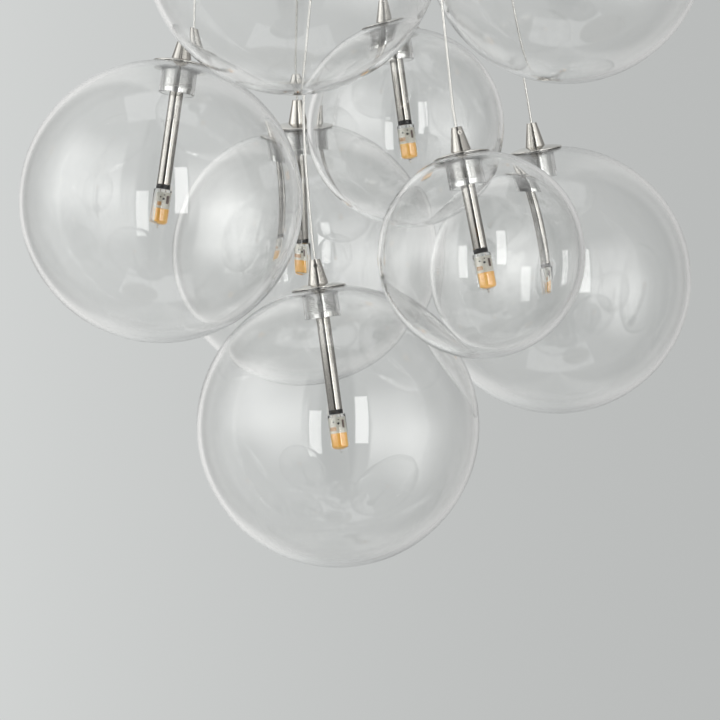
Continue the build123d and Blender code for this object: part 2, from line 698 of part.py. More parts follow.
def make_output_terminal():
    """Terminal under the driver: four cables enter each long side, the driver's wires one end."""
    bottom = TERMINAL_TOP - TERMINAL_HEIGHT
    front = Plane.XZ.offset(TERMINAL_WIDTH / 2)
    back = Plane.XZ.offset(TERMINAL_ENTRY_DEPTH - TERMINAL_WIDTH / 2)
    with BuildPart() as terminal:
        with BuildSketch(Plane.XY.offset(bottom)):
            Rectangle(TERMINAL_LENGTH, TERMINAL_WIDTH)
        extrude(amount=TERMINAL_HEIGHT)
        with BuildSketch(Plane.XY.offset(bottom)):
            with GridLocations(TERMINAL_PITCH, 0, 4, 1):
                Circle(TERMINAL_SCREW_RADIUS)
        extrude(amount=TERMINAL_SCREW_DEPTH, mode=Mode.SUBTRACT)
        for plane in (front, back):
            with BuildSketch(plane):
                with Locations((0, LEAD_HEIGHT)):
                    with GridLocations(TERMINAL_PITCH, 0, 4, 1):
                        Circle(CABLE_RADIUS + FIT)
            extrude(amount=-TERMINAL_ENTRY_DEPTH, mode=Mode.SUBTRACT)
        with BuildSketch(Plane.YZ.offset(TERMINAL_LENGTH / 2)):
            with Locations((0, LEAD_HEIGHT)):
                with GridLocations(WIRE_SPACING, 0, 2, 1):
                    Circle(WIRE_RADIUS + FIT)
        extrude(amount=-TERMINAL_ENTRY_DEPTH, mode=Mode.SUBTRACT)
    return terminal


def make_mains_terminal():
    """Block for the supply wires, with a pair of entries at its end and another on its side."""
    with BuildPart() as terminal:
        with BuildSketch(Plane.XY.offset(DRIVER_TOP)):
            with Locations((0, MAINS_Y)):
                Rectangle(MAINS_WIDTH, MAINS_LENGTH)
        extrude(amount=-MAINS_HEIGHT)
        fillet(terminal.edges().filter_by(Axis.Z), DRIVER_EDGE)
        with BuildSketch(Plane.XZ.offset(-MAINS_Y - MAINS_LENGTH / 2)):
            with Locations((0, WIRE_HEIGHT)):
                with GridLocations(WIRE_SPACING, 0, 2, 1):
                    Circle(WIRE_RADIUS + FIT)
        extrude(amount=TERMINAL_ENTRY_DEPTH, mode=Mode.SUBTRACT)
        with BuildSketch(Plane.YZ.offset(MAINS_WIDTH / 2)):
            with Locations((MAINS_Y, WIRE_HEIGHT)):
                with GridLocations(WIRE_SPACING, 0, 2, 1):
                    Circle(WIRE_RADIUS + FIT)
        extrude(amount=-TERMINAL_ENTRY_DEPTH, mode=Mode.SUBTRACT)
    return terminal


def make_supply_grommet():
    """Soft ring that lines the bracket's supply hole, with a lip below it."""
    bore = SUPPLY_HOLE_RADIUS - GROMMET_WALL
    with BuildPart() as grommet:
        with BuildSketch(Plane.XY.offset(-BRACKET_THICKNESS - GROMMET_LIP_HEIGHT)):
            with Locations((0, SUPPLY_HOLE_Y)):
                Circle(SUPPLY_HOLE_RADIUS + GROMMET_LIP)
                Circle(bore, mode=Mode.SUBTRACT)
        extrude(amount=GROMMET_LIP_HEIGHT)
        with BuildSketch(Plane.XY.offset(-BRACKET_THICKNESS)):
            with Locations((0, SUPPLY_HOLE_Y)):
                Circle(SUPPLY_HOLE_RADIUS - FIT)
                Circle(bore, mode=Mode.SUBTRACT)
        extrude(amount=BRACKET_THICKNESS - CEILING_GAP)
    return grommet


def make_driver_wires():
    """Two wires from the mains terminal to the driver, and two on to the output terminal."""
    tubes = []
    for y in (-WIRE_SPACING / 2, WIRE_SPACING / 2):
        start = DRIVER_WIDTH / 2 - TERMINAL_ENTRY_DEPTH + SEAT
        end = TERMINAL_LENGTH / 2 - TERMINAL_ENTRY_DEPTH + SEAT
        loop = DRIVER_WIDTH / 2 + WIRE_LOOP
        points = [
            Vector(start, y, WIRE_HEIGHT),
            Vector(loop, y, WIRE_HEIGHT),
            Vector(loop, y, LEAD_HEIGHT),
            Vector(end, y, LEAD_HEIGHT),
        ]
        tubes.append(make_tube(points, [WIRE_BEND, WIRE_BEND], WIRE_RADIUS)[0])
    straight_start = MAINS_Y + MAINS_LENGTH / 2 - TERMINAL_ENTRY_DEPTH + SEAT
    straight_end = -DRIVER_LENGTH / 2 + TERMINAL_ENTRY_DEPTH - SEAT
    with BuildPart() as wires:
        for tube in tubes:
            add(tube.part)
        with BuildSketch(Plane.XZ.offset(-straight_start)):
            with Locations((0, WIRE_HEIGHT)):
                with GridLocations(WIRE_SPACING, 0, 2, 1):
                    Circle(WIRE_RADIUS)
        extrude(amount=straight_start - straight_end)
    return wires


def save(piece, name):
    piece.part.label = name
    export_step(piece.part, f"parts/{name}.step")


def place(piece, plane, height, turn, name):
    """Put a piece on the stem: height up from the globe's middle, turned about the stem."""
    with BuildPart() as placed:
        with Locations(plane.location * Location((0, 0, height), (0, 0, turn))):
            add(piece.part)
    save(placed, name)


os.makedirs("parts", exist_ok=True)

grip = make_cable_grip()
lampholder = make_lampholder()
lamp = make_lamp()
globes = {radius: make_globe(radius) for radius in (LARGE_RADIUS, SMALL_RADIUS)}
caps = {radius: make_cap_and_stem(stem_length(radius)) for radius in globes}

for pendant in PENDANTS:
    globe_radius = PENDANTS[pendant][0]
    grip_turn, lamp_turn = PENDANTS[pendant][4:6]
    stem = stem_plane(pendant)
    cap_rim = seat_height(globe_radius)
    stem_end = cap_rim + CAP_DOME - stem_length(globe_radius)
    place(globes[globe_radius], stem, 0, 0, f"{pendant}_globe")
    place(caps[globe_radius], stem, cap_rim, 0, f"{pendant}_cap_and_stem")
    place(grip, stem, cap_rim, grip_turn, f"{pendant}_cable_grip")
    place(lampholder, stem, stem_end, lamp_turn, f"{pendant}_lampholder")
    place(lamp, stem, stem_end, lamp_turn, f"{pendant}_lamp")
    save(make_cable(pendant), f"{pendant}_cable")

save(make_canopy_cover(), "canopy_cover")
save(make_ceiling_bracket(), "ceiling_bracket")
save(make_canopy_screws(), "canopy_screws")
save(at_outlets(make_gland()), "cable_glands")
save(at_outlets(make_gland_nut()), "gland_nuts")
save(make_cable_leads(), "cable_leads")
save(make_led_driver(), "led_driver")
save(make_driver_screws(), "driver_screws")
save(make_output_terminal(), "output_terminal")
save(make_mains_terminal(), "mains_terminal")
save(make_supply_grommet(), "supply_grommet")
save(make_driver_wires(), "driver_wires")
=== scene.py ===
# %% [markdown]
# A cluster pendant: eight clear glass globes, each on its own thin cable, gathered so closely that
# they almost touch. The imported model gives every piece its place. This file dresses it: it makes
# smooth surfaces where glass and polished metal need them, and gives each surface its finish.
# The first step loads the model and keeps its size.

# %% Load the imported model
import json

import bmesh
import bpy
import numpy as np
from mathutils import Matrix, Vector

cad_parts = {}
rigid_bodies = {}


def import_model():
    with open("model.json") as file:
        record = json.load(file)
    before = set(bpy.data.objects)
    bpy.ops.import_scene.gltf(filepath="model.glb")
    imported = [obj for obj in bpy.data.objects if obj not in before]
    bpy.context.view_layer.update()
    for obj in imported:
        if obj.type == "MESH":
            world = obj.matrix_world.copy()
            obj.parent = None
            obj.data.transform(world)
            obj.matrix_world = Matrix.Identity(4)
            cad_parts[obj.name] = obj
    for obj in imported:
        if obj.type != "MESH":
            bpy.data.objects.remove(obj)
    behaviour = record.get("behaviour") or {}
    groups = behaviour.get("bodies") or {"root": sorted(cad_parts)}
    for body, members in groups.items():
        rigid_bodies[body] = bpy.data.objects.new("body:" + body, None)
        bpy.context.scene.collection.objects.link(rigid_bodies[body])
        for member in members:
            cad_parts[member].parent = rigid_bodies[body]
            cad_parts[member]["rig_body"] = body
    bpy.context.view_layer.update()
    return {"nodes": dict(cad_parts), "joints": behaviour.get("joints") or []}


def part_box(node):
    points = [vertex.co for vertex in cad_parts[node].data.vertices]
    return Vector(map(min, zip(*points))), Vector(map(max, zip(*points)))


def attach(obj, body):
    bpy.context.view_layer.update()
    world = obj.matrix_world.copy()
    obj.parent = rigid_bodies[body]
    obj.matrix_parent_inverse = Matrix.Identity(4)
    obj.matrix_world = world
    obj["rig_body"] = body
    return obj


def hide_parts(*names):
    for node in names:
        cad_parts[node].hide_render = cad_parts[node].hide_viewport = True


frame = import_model()
MM = 0.001

# %% [markdown]
# The photograph was taken level with the middle of the cluster from a little over two metres, with
# a long lens, so the nearer globes look only slightly larger. A short list of measured globe
# outlines gave this distance: at it, all large globes come out the same size.

# %% Camera
CAMERA_PLACE = (0.014, -2.230, -0.682)
CAMERA_LENS_MM = 155.6
SENSOR_MM = 36.0

camera = bpy.data.objects.new("camera", bpy.data.cameras.new("camera"))
camera.data.sensor_width = SENSOR_MM
camera.data.lens = CAMERA_LENS_MM
camera.data.clip_start = 0.05
camera.data.clip_end = 50
camera.location = CAMERA_PLACE
camera.rotation_euler = (np.pi / 2, 0, 0)
bpy.context.scene.collection.objects.link(camera)
bpy.context.scene.camera = camera
bpy.context.scene.view_settings.view_transform = "Standard"
print("camera", CAMERA_PLACE, "lens", CAMERA_LENS_MM)

# %% [markdown]
# Shader graphs are easier to read as sums than as wires. One small class wraps a socket, so that
# an expression such as 1 - mask * 0.5 adds the Math nodes it needs. A second class wraps a
# material's or a light's node tree and adds any other node by its type.


# %% Node graphs written as expressions
class Wire:
    """One output socket. Arithmetic on it adds Math nodes and gives a new Wire."""

    def __init__(self, graph, socket):
        self.graph = graph
        self.socket = socket

    def math(self, operation, *values):
        return self.graph.add("ShaderNodeMath", {"operation": operation}, dict(enumerate(values)))

    def __add__(self, other):
        return self.math("ADD", self, other)

    def __sub__(self, other):
        return self.math("SUBTRACT", self, other)

    def __rsub__(self, other):
        return self.math("SUBTRACT", other, self)

    def __mul__(self, other):
        return self.math("MULTIPLY", self, other)

    def __truediv__(self, other):
        return self.math("DIVIDE", self, other)

    def over(self, other):
        """1 where this wire is greater than the other value, else 0."""
        return self.math("GREATER_THAN", self, other)

    __radd__ = __add__
    __rmul__ = __mul__


class Graph:
    """The node tree of a material or of the world."""

    def __init__(self, owner):
        owner.use_nodes = True
        self.tree = owner.node_tree
        self.tree.nodes.clear()

    def add(self, kind, settings=None, feeds=None, out=0):
        """Adds a node: settings first, then values or Wires into its sockets. Gives one output."""
        node = self.tree.nodes.new(kind)
        for name, value in (settings or {}).items():
            if name == "stops":
                ramp = node.color_ramp
                while len(ramp.elements) < len(value):
                    ramp.elements.new(0.5)
                for element, (position, colour) in zip(ramp.elements, value):
                    element.position = position
                    element.color = (*colour, 1)
            else:
                setattr(node, name, value)
        for name, value in (feeds or {}).items():
            if isinstance(value, Wire):
                self.tree.links.new(value.socket, node.inputs[name])
            else:
                node.inputs[name].default_value = value
        return Wire(self, node.outputs[out]) if len(node.outputs) else None

    def mix(self, share, first, second):
        """A colour between two colours."""
        settings = {"data_type": "RGBA"}
        return self.add("ShaderNodeMix", settings, {0: share, 6: first, 7: second}, out=2)


def colour(red, green, blue):
    """A display colour of 0 to 255 as linear values with alpha."""
    values = np.array([red, green, blue]) / 255
    linear = np.where(values <= 0.04045, values / 12.92, ((values + 0.055) / 1.055) ** 2.4)
    return (*[float(v) for v in linear], 1.0)


# %% [markdown]
# The backdrop is a plain grey that grows lighter to the left, so the world paints it by direction.
# What the glass and the metal mirror is another matter. Around the camera the studio is dark, and
# that draws the dark band down the middle of every globe and stem. Beside it hangs a narrow strip
# of light, and from there a soft bank reaches round on each side, the left one higher up. Past
# them the room is grey and grows dimmer. A faint paler wall there, stronger on the left, draws the
# thin bright line inside each rim, and close round the backdrop its own grey takes over.

# %% World
HALF_VIEW = 0.1157  # sideways reach of the view, as the tangent of an angle
BACKDROP = (0.547, -0.0745, 0.0235)  # its level in the middle, slope and bend
BACKDROP_TINT = (0.9885, 1.0115, 1.0)
ROOM = 0.50
STUDIO_DARK = 0.04
STRIP_LIGHT = 4.2

world = bpy.data.worlds.new("studio")
bpy.context.scene.world = world
graph = Graph(world)
direction = graph.add("ShaderNodeTexCoord")
parts = graph.tree.nodes.new("ShaderNodeSeparateXYZ")
graph.tree.links.new(direction.socket, parts.inputs[0])
east, north, up = [Wire(graph, socket) for socket in parts.outputs]


def rise(value, low, high):
    """0 below low, 1 above high and smooth between, for a Wire."""
    share = (value - low) / (high - low)
    share = share.math("MINIMUM", share.math("MAXIMUM", share, 0.0), 1.0)
    return share * share * (3 - share * 2)


def between(value, low, high, soft):
    """1 between low and high, fading to 0 over a soft stretch inside each end."""
    return rise(value, low, low + soft) * (1 - rise(value, high - soft, high))


across = east / HALF_VIEW
across = across.math("MINIMUM", across.math("MAXIMUM", across, -1.2), 1.2)
level = across * (across * BACKDROP[2] + BACKDROP[1]) + BACKDROP[0]
grey = graph.add("ShaderNodeCombineColor", feeds={i: level * BACKDROP_TINT[i] for i in range(3)})

azimuth = east.math("ARCTAN2", east, north * -1) * (180 / np.pi)
elevation = up.math("ARCSINE", up) * (180 / np.pi)
away = azimuth.math("ABSOLUTE", azimuth)
on_right = azimuth.over(0.0)
left_bank = between(away, 28, 115, 3) * (1 - rise(away, 75, 115)) * (rise(away, 45, 75) * 0.8 + 1.2)
right_bank = between(away, 25, 90, 3) * (1 - rise(away, 52, 90)) * 1.5
left_bank = left_bank * between(elevation, -18, 50, 24)
right_bank = right_bank * between(elevation, -31, 37, 24)
bank = left_bank + on_right * (right_bank - left_bank)
strip = between(azimuth, 14.3, 25.6, 0.6) * between(elevation, -12.5, 25, 1) * STRIP_LIGHT
room = rise(away, 12, 19) * (ROOM - STUDIO_DARK) + STUDIO_DARK
room = room * (1 - between(azimuth, 66, 124, 16) * 0.2)
room = room * (1 - between(away, 108, 147, 10) * 0.35)
wall = rise(away, 144, 154) * 0.12 + rise(azimuth * -1, 144, 154) * 0.22
studio = room + bank + strip + wall
studio = graph.add("ShaderNodeCombineColor", feeds={0: studio, 1: studio, 2: studio * 0.985})
studio = graph.mix(rise(away, 158, 176), studio, grey)

path = graph.tree.nodes.new("ShaderNodeLightPath")
seen = {name: Wire(graph, path.outputs[name]) for name in path.outputs.keys()}
plain = seen["Is Transmission Ray"] * (1 - seen["Glossy Depth"].over(0.5))
plain = plain.math("MAXIMUM", plain, seen["Is Camera Ray"])
background = graph.add("ShaderNodeBackground", feeds={0: graph.mix(plain, studio, grey), 1: 1.0})
graph.add("ShaderNodeOutputWorld", feeds={0: background})
print("world: backdrop", BACKDROP[0], "room", ROOM)

# %% [markdown]
# One soft panel of light-emitting mesh hangs overhead. Straight through the glass it isn't seen,
# because the real one hung outside the picture. The pale floor fades out at its edge, so that the
# globes mirror no hard line.

# %% Light panel and floor
CLUSTER_MIDDLE = Vector((0.01, 0.0, -0.60))
FLOOR_HEIGHT = -1.75
FLOOR_RADIUS = 1.5


def light_panel(name, azimuth, elevation, distance, width, height, strength, tint):
    """A flat panel that faces the cluster. Azimuth is 0 at the camera and grows to the right."""
    turn = np.radians(azimuth)
    lift = np.radians(elevation)
    away = Vector((np.sin(turn) * np.cos(lift), -np.cos(turn) * np.cos(lift), np.sin(lift)))
    mesh = bpy.data.meshes.new(name)
    corners = [(-width / 2, -height / 2, 0), (width / 2, -height / 2, 0)]
    corners += [(width / 2, height / 2, 0), (-width / 2, height / 2, 0)]
    mesh.from_pydata(corners, [], [(0, 1, 2, 3)])
    panel = bpy.data.objects.new(name, mesh)
    panel.location = CLUSTER_MIDDLE + away * distance
    panel.rotation_euler = away.to_track_quat("Z", "Y").to_euler()
    material = bpy.data.materials.new(name)
    light = Graph(material)
    rays = light.tree.nodes.new("ShaderNodeLightPath")
    passed = Wire(light, rays.outputs["Is Transmission Ray"])
    bounced = Wire(light, rays.outputs["Glossy Depth"]).over(0.5)
    hidden = passed * (1 - bounced)
    glow = light.add("ShaderNodeEmission", feeds={0: (*tint, 1), 1: strength})
    clear = light.add("ShaderNodeBsdfTransparent")
    both = light.add("ShaderNodeMixShader", feeds={0: hidden, 1: glow, 2: clear})
    light.add("ShaderNodeOutputMaterial", feeds={0: both})
    mesh.materials.append(material)
    bpy.context.scene.collection.objects.link(panel)
    panel.visible_camera = False
    panel.visible_shadow = False


light_panel("top_light", 0, 80, 2.6, 2.2, 1.4, 1.2, (1.0, 1.0, 1.0))
angle = np.linspace(0, 2 * np.pi, 96, endpoint=False)
ring = [np.cos(angle) * FLOOR_RADIUS, np.sin(angle) * FLOOR_RADIUS, angle * 0 + FLOOR_HEIGHT]
ring = np.stack(ring, 1)
floor_mesh = bpy.data.meshes.new("floor")
floor_mesh.from_pydata(ring.tolist(), [], [tuple(range(96))])
floor = bpy.data.objects.new("floor", floor_mesh)
bpy.context.scene.collection.objects.link(floor)
floor_material = bpy.data.materials.new("floor")
graph = Graph(floor_material)
coordinates = graph.tree.nodes.new("ShaderNodeTexCoord")
place = Wire(graph, coordinates.outputs["Object"])
flat = graph.add("ShaderNodeVectorMath", {"operation": "MULTIPLY"}, {0: place, 1: (1, 1, 0)})
reach = graph.add("ShaderNodeVectorMath", {"operation": "LENGTH"}, {0: flat}, out=1)
pale = {"Base Color": (0.7, 0.7, 0.7, 1), "Roughness": 0.8}
surface = graph.add("ShaderNodeBsdfPrincipled", feeds=pale)
clear = graph.add("ShaderNodeBsdfTransparent")
faded = rise(reach, FLOOR_RADIUS * 0.3, FLOOR_RADIUS)
both = graph.add("ShaderNodeMixShader", feeds={0: faded, 1: surface, 2: clear})
graph.add("ShaderNodeOutputMaterial", feeds={0: both})
floor_mesh.materials.append(floor_material)
print("panel overhead, floor at", FLOOR_HEIGHT)

# %% [markdown]
# Each pendant is the same kit of turned pieces about its own leaning stem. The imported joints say
# where: a bulb's pull joint starts at the middle of its globe and points down the stem, and a swing
# joint sits at the ball that the cable hangs from.

# %% Where each pendant is
LARGE_RADIUS = 100.0
SMALL_RADIUS = 71.2
LARGE_FROM = 0.18  # width in metres over which a globe is a large one
joints = {joint["name"]: joint for joint in frame["joints"]}
PENDANTS = [name[: -len("_swing")] for name in joints if name.endswith("_swing")]


def stem_matrix(pendant):
    """Moves a piece made about the Z axis, in millimetres, onto a pendant's stem."""
    pull = joints[pendant + "_bulb_pull"]
    up = -Vector(pull["axis"]).normalized()
    across = Vector((0, 1, 0)).cross(up).normalized()
    matrix = Matrix((across, up.cross(across), up)).transposed().to_4x4()
    matrix.translation = Vector(pull["pos_m"])
    return matrix @ Matrix.Scale(MM, 4)


def is_large(pendant):
    low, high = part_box(pendant + "_globe")
    return (high - low).x > LARGE_FROM


print("pendants", PENDANTS)

# %% [markdown]
# Nearly everything here is turned on a lathe or blown as a round bubble. So one function makes a
# mesh by carrying a profile round an axis: row by row as a grid of points, with a single point
# where the profile meets the axis, so no hole or doubled seam is left.


# %% Surfaces turned about an axis
def arc(middle, radius, start, end, steps):
    """Points on a circle: the middle plus radius times the cosine and sine of each angle."""
    angles = np.radians(np.linspace(start, end, steps))
    return np.stack([middle[0] + radius * np.cos(angles), middle[1] + radius * np.sin(angles)], 1)


def joined(*pieces):
    """One profile out of several, without points that repeat."""
    points = np.concatenate([np.atleast_2d(piece) for piece in pieces])
    keep = np.r_[True, np.linalg.norm(np.diff(points, axis=0), axis=1) > 1e-6]
    return points[keep]


def turned(profile, sides, closed=False, swell=None):
    """Carries a profile of radius and height round Z.

    Point (i, j) is (r_i cos t_j, r_i sin t_j, z_i) with t_j = 2 pi j / sides. swell changes a
    point's radius, given its angle, radius and height. Gives points, faces and UVs per corner.
    """
    turn = np.arange(sides) * 2 * np.pi / sides
    radius, turn_grid = np.meshgrid(profile[:, 0], turn, indexing="ij")
    height = np.repeat(profile[:, 1:2], sides, axis=1)
    if swell is not None:
        radius = np.where(radius > 1e-9, swell(turn_grid, radius, height), 0)
    points = np.stack([radius * np.cos(turn_grid), radius * np.sin(turn_grid), height], 2)
    rows = len(profile)
    index = np.arange(rows * sides).reshape(rows, sides)
    index[profile[:, 0] < 1e-9] = index[profile[:, 0] < 1e-9][:, :1]
    travel = np.r_[0, np.cumsum(np.linalg.norm(np.diff(profile, axis=0), axis=1))]
    lower = np.arange(rows if closed else rows - 1)
    upper = (lower + 1) % rows
    here, there = np.arange(sides), (np.arange(sides) + 1) % sides
    quads = np.stack([index[lower][:, here], index[lower][:, there]], 2)
    quads = np.concatenate([quads, np.stack([index[upper][:, there], index[upper][:, here]], 2)], 2)
    left_u, right_u = here / sides, (here + 1) / sides
    low_v = travel[lower][:, None] + 0 * left_u
    end_v = np.append(travel, travel[-1])[lower + 1][:, None] + 0 * left_u
    sides_u = np.broadcast_to(np.stack([left_u, right_u, right_u, left_u], 1), (*low_v.shape, 4))
    uvs = np.stack([sides_u, np.stack([low_v, low_v, end_v, end_v], 2)], 3)
    return points.reshape(-1, 3), quads.reshape(-1, 4), uvs.reshape(-1, 4, 2)


def blocks(boxes, bevel):
    """Bevelled boxes, each given by its middle and size: 24 points where its corners are cut."""
    signs = np.array([[x, y, z] for x in (-1, 1) for y in (-1, 1) for z in (-1, 1)])
    points, faces = [], []
    for middle, size in boxes:
        half = np.array(size) / 2
        start = len(points) * 24
        group = []
        for axis in range(3):
            cut = np.full(3, bevel)
            cut[axis] = 0
            group.append(signs * (half - cut) + np.array(middle))
        points.append(np.concatenate(group))
        corner = {tuple(sign): i for i, sign in enumerate(signs.tolist())}
        for axis in range(3):
            first, second = [(1, 2), (0, 2), (0, 1)][axis]
            for end in (-1, 1):
                loop = []
                for a, b in ((-1, -1), (1, -1), (1, 1), (-1, 1)):
                    sign = [0, 0, 0]
                    sign[axis], sign[first], sign[second] = end, a, b
                    loop.append(start + axis * 8 + corner[tuple(sign)])
                faces.append(loop)
            for a in (-1, 1):
                for b in (-1, 1):
                    ends = []
                    for end in (-1, 1):
                        sign = [0, 0, 0]
                        sign[axis], sign[first], sign[second] = end, a, b
                        ends.append(corner[tuple(sign)])
                    loop = [start + first * 8 + ends[0], start + first * 8 + ends[1]]
                    loop += [start + second * 8 + ends[1], start + second * 8 + ends[0]]
                    faces.append(loop)
        for i in range(8):
            faces.append([start + i, start + 8 + i, start + 16 + i])
    return np.concatenate(points), faces, None


def piece(name, shape, matrix, material, body, slot, stands_for=(), sharp=32):
    """Makes an object out of a shape, puts it in place and lets it ride on its body."""
    points, faces, uvs = shape
    mesh = bpy.data.meshes.new(name)
    if uvs is None:
        rows = [list(face) for face in faces]
    else:
        rows = [list(dict.fromkeys(face)) for face in faces.tolist()]
    keep = [len(row) > 2 for row in rows]
    mesh.from_pydata(points.tolist(), [], [row for row, wanted in zip(rows, keep) if wanted])
    if uvs is not None:
        corners = []
        for face, row, corner, wanted in zip(faces.tolist(), rows, uvs, keep):
            if wanted:
                corners += [corner[face.index(v)] for v in row]
        layer = mesh.uv_layers.new(name="UVMap")
        layer.data.foreach_set("uv", np.array(corners, np.float32).ravel())
    mesh.transform(matrix)
    finish_mesh(mesh, sharp)
    return put(name, mesh, material, body, stands_for)


def finish_mesh(mesh, sharp):
    """Drops unused points, turns the faces outwards and shades smooth, sharp past an angle."""
    work = bmesh.new()
    work.from_mesh(mesh)
    bmesh.ops.delete(work, geom=[v for v in work.verts if not v.link_faces], context="VERTS")
    bmesh.ops.recalc_face_normals(work, faces=work.faces)
    work.to_mesh(mesh)
    work.free()
    mesh.shade_smooth()
    mesh.set_sharp_from_angle(angle=np.radians(sharp))


def put(name, mesh, material, body, stands_for):
    """Links a finished mesh as a piece that rides on a body."""
    made = bpy.data.objects.new(name, mesh)
    bpy.context.scene.collection.objects.link(made)
    mesh.materials.clear()
    mesh.materials.append(material)
    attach(made, body)
    if stands_for:
        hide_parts(*stands_for)
    return made


print("helpers ready")

# %% [markdown]
# Clear glass is one surface shader with full transmission. A slow noise bends its normals a little,
# as blown glass does. For shadow rays it is swapped for plain transparency, so that the globes let
# light through onto the lamps inside instead of throwing solid shadows.


# %% Glass finishes
def material_graph(name):
    material = bpy.data.materials.new(name)
    return material, Graph(material)


def place_of(graph):
    """The piece's own coordinates, which are the model's, in metres."""
    return graph.add("ShaderNodeTexCoord", out=3)


def noise(graph, scale, detail):
    feeds = {"Vector": place_of(graph), "Scale": scale, "Detail": detail, "Roughness": 0.5}
    return graph.add("ShaderNodeTexNoise", feeds=feeds)


def bump(graph, height, distance):
    feeds = {"Strength": 1.0, "Distance": distance, "Height": height}
    return graph.add("ShaderNodeBump", feeds=feeds)


def surface_of(graph, **sockets):
    """The principled shader with sockets named in words: base_color becomes Base Color."""
    feeds = {name.replace("_", " ").title(): value for name, value in sockets.items()}
    feeds = {name.replace("Ior", "IOR"): value for name, value in feeds.items()}
    return graph.add("ShaderNodeBsdfPrincipled", feeds=feeds)


def shown_by(graph, surface):
    graph.add("ShaderNodeOutputMaterial", feeds={0: surface})


def glass_finish(name, tint, ripple_scale, ripple_depth, ior=1.5, coat=0.0):
    material, graph = material_graph(name)
    ripple = noise(graph, ripple_scale, 1.0)
    body = surface_of(
        graph,
        base_color=tint,
        roughness=0.0,
        ior=ior,
        transmission_weight=1.0,
        coat_weight=coat,
        coat_roughness=0.04,
        coat_ior=1.9,
        normal=bump(graph, ripple, ripple_depth),
    )
    shadow = graph.add("ShaderNodeLightPath", out=1)
    clear = graph.add("ShaderNodeBsdfTransparent", feeds={0: (0.97, 0.975, 0.97, 1)})
    shown_by(graph, graph.add("ShaderNodeMixShader", feeds={0: shadow, 1: body, 2: clear}))
    return material


globe_glass = glass_finish("globe_glass", (0.997, 0.999, 0.997, 1), 22, 0.00006)
lamp_glass = glass_finish("lamp_cover_glass", (0.99, 0.99, 0.985, 1), 120, 0.0001, 1.41, 1.0)
print("glass", globe_glass.name, lamp_glass.name)

# %% [markdown]
# The metal is nickel plate, warm beside the grey room. What makes it read as turned metal is a set
# of very fine rings left by the lathe. The rings follow the profile of each piece, so they come
# from the second coordinate of its UV map, which runs along the profile in millimetres.


# %% Metal finishes
def uv_of(graph):
    """How far along the profile a point lies: the second coordinate of the UV map."""
    both = graph.add("ShaderNodeTexCoord", out=2)
    return graph.add("ShaderNodeSeparateXYZ", feeds={0: both}, out=1)


def turned_metal(name, base, low, high, rings=9.0, depth=0.000004, brushed=0.0):
    """Nickel with lathe rings. Brushed metal draws its highlights out along the piece's axis."""
    material, graph = material_graph(name)
    along = uv_of(graph)
    feeds = {"W": along * rings, "Scale": 1.0, "Detail": 3.0}
    lines = graph.add("ShaderNodeTexNoise", {"noise_dimensions": "1D"}, feeds)
    smudge = noise(graph, 70, 3.0)
    rough = smudge * (high - low) + low + (lines - 0.5) * 0.06
    tone = graph.mix(smudge, (*[c * 0.93 for c in base], 1), (*base, 1))
    surface = surface_of(
        graph,
        base_color=tone,
        metallic=1.0,
        roughness=rough,
        anisotropic=brushed,
        anisotropic_rotation=0.25,
        normal=bump(graph, lines, depth),
    )
    shown_by(graph, surface)
    return material


def cast_metal(name, base, low, high, grain):
    """Metal of a sheet or a cast piece: a fine grain in place of turning rings."""
    material, graph = material_graph(name)
    fine = noise(graph, grain, 4.0)
    broad = noise(graph, 35, 2.0)
    tone = graph.mix(broad, (*[c * 0.9 for c in base], 1), (*base, 1))
    rough = fine * (high - low) + low
    normal = bump(graph, fine, 0.00002)
    surface = surface_of(graph, base_color=tone, metallic=1.0, roughness=rough, normal=normal)
    shown_by(graph, surface)
    return material


polished_nickel = turned_metal("polished_nickel", (0.58, 0.56, 0.525), 0.20, 0.25, brushed=0.9)
satin_nickel = turned_metal("satin_nickel", (0.74, 0.725, 0.69), 0.10, 0.15)
stem_nickel = turned_metal("stem_nickel", (0.46, 0.445, 0.42), 0.08, 0.12, 3.0, 0.0000005, 0.6)
plug_metal = turned_metal("plug_metal", (0.86, 0.86, 0.85), 0.10, 0.16, depth=0.0000002)
pin_metal = turned_metal("pin_metal", (0.75, 0.74, 0.72), 0.15, 0.3)
canopy_nickel = cast_metal("canopy_nickel", (0.72, 0.68, 0.62), 0.22, 0.34, 900)
zinc_plate = cast_metal("zinc_plate", (0.60, 0.61, 0.63), 0.3, 0.5, 400)
print("metals 7")

# %% [markdown]
# The rest is plastic, rubber and the lamp's own parts. Each gets a little variation in tone and a
# fine moulded grain. The phosphor is a soft gel over the light-emitting strips: a fine random
# cloud of deeper and paler amber.


# %% Plastic and lamp finishes
MOULDED_GRAIN = 700
MOULDED_DEPTH = 0.00001


def moulded(name, base, rough, coat=0.0):
    material, graph = material_graph(name)
    fine = noise(graph, MOULDED_GRAIN, 3.0)
    broad = noise(graph, 45, 2.0)
    tone = graph.mix(broad, (*[c * 0.88 for c in base], 1), (*base, 1))
    surface = surface_of(
        graph,
        base_color=tone,
        roughness=fine * 0.12 + (rough - 0.06),
        coat_weight=coat,
        normal=bump(graph, fine, MOULDED_DEPTH),
    )
    shown_by(graph, surface)
    return material


def phosphor_finish():
    material, graph = material_graph("amber_phosphor")
    cloud = noise(graph, 420, 2.0)
    tone = graph.mix(cloud, colour(236, 172, 62), colour(250, 192, 92))
    surface = surface_of(
        graph,
        base_color=tone,
        roughness=0.38,
        subsurface_weight=0.25,
        subsurface_scale=0.0008,
        coat_weight=0.35,
        coat_roughness=0.15,
        normal=bump(graph, cloud, 0.00004),
    )
    shown_by(graph, surface)
    return material


